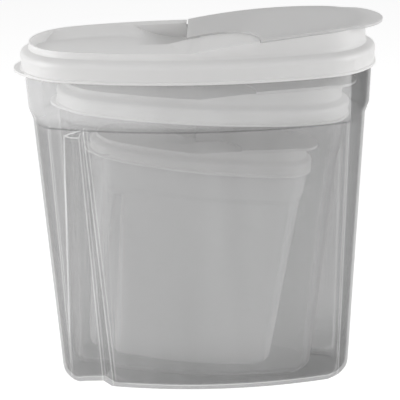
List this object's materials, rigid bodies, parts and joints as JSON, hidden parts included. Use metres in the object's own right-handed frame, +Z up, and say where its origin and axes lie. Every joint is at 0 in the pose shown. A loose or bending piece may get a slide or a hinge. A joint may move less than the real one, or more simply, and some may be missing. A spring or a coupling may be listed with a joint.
{
  "type": "cereal keeper",
  "caption": "Clear oval cereal keeper with a pressed-on white lid and flip-up pour flap, holding smaller keepers of the same design nested inside it.",
  "frame": {"origin": "under the middle of the large tub's base, on the surface it stands on", "axes": "+Z up, +X towards the spout, +Y to the far side of the pictured view"},
  "size_m": [0.2746, 0.123, 0.2824],
  "materials": {
    "clear_plastic": "clear moulded plastic, glossy",
    "white_lid": "satin white moulded plastic",
    "white_flap": "satin white moulded plastic"
  },
  "bodies": {
    "tub_large": {"tub_large": "clear_plastic"},
    "lid_large": {"lid_large": "white_lid"},
    "flap_large": {"flap_large": "white_flap"},
    "tub_medium": {"tub_medium": "clear_plastic"},
    "lid_medium": {"lid_medium": "white_lid"},
    "flap_medium": {"flap_medium": "white_flap"},
    "tub_small": {"tub_small": "clear_plastic"},
    "lid_small": {"lid_small": "white_lid"},
    "flap_small": {"flap_small": "white_flap"}
  },
  "joints": [
    {"name": "lid_large_lift", "type": "slide", "parent": "tub_large", "child": "lid_large", "axis": [0, 0, 1], "range_m": [0, 0.8]},
    {"name": "flap_large_hinge", "type": "hinge", "parent": "lid_large", "child": "flap_large", "pos_m": [-0.0015, 0, 0.26724], "axis": [0, -1, 0], "range_deg": [0, 95]},
    {"name": "tub_medium_lift", "type": "slide", "parent": "tub_large", "child": "tub_medium", "axis": [0, 0, 1], "range_m": [0, 0.28]},
    {"name": "lid_medium_lift", "type": "slide", "parent": "tub_medium", "child": "lid_medium", "axis": [0.0663, 0, 0.9978], "range_m": [0, 0.36]},
    {"name": "flap_medium_hinge", "type": "hinge", "parent": "lid_medium", "child": "flap_medium", "pos_m": [0.00247, 0, 0.23084], "axis": [0, -1, 0], "range_deg": [0, 91]},
    {"name": "tub_small_lift", "type": "slide", "parent": "tub_medium", "child": "tub_small", "axis": [0.0663, 0, 0.9978], "range_m": [0, 0.216]},
    {"name": "lid_small_lift", "type": "slide", "parent": "tub_small", "child": "lid_small", "axis": [0.1271, 0, 0.9919], "range_m": [0, 0.04]},
    {"name": "flap_small_hinge", "type": "hinge", "parent": "lid_small", "child": "flap_small", "pos_m": [0.00021, 0, 0.18647], "axis": [0, -1, 0], "range_deg": [0, 91]}
  ],
  "couplings": [
    {"joint": "tub_medium_lift", "follows": "lid_large_lift", "ratio": 0.35},
    {"joint": "lid_medium_lift", "follows": "lid_large_lift", "ratio": 0.45},
    {"joint": "flap_medium_hinge", "follows": "lid_large_lift", "rad_per_m": 1.9635},
    {"joint": "tub_small_lift", "follows": "lid_large_lift", "ratio": 0.27},
    {"joint": "lid_small_lift", "follows": "lid_large_lift", "ratio": 0.05},
    {"joint": "flap_small_hinge", "follows": "lid_large_lift", "rad_per_m": 1.9635}
  ]
}
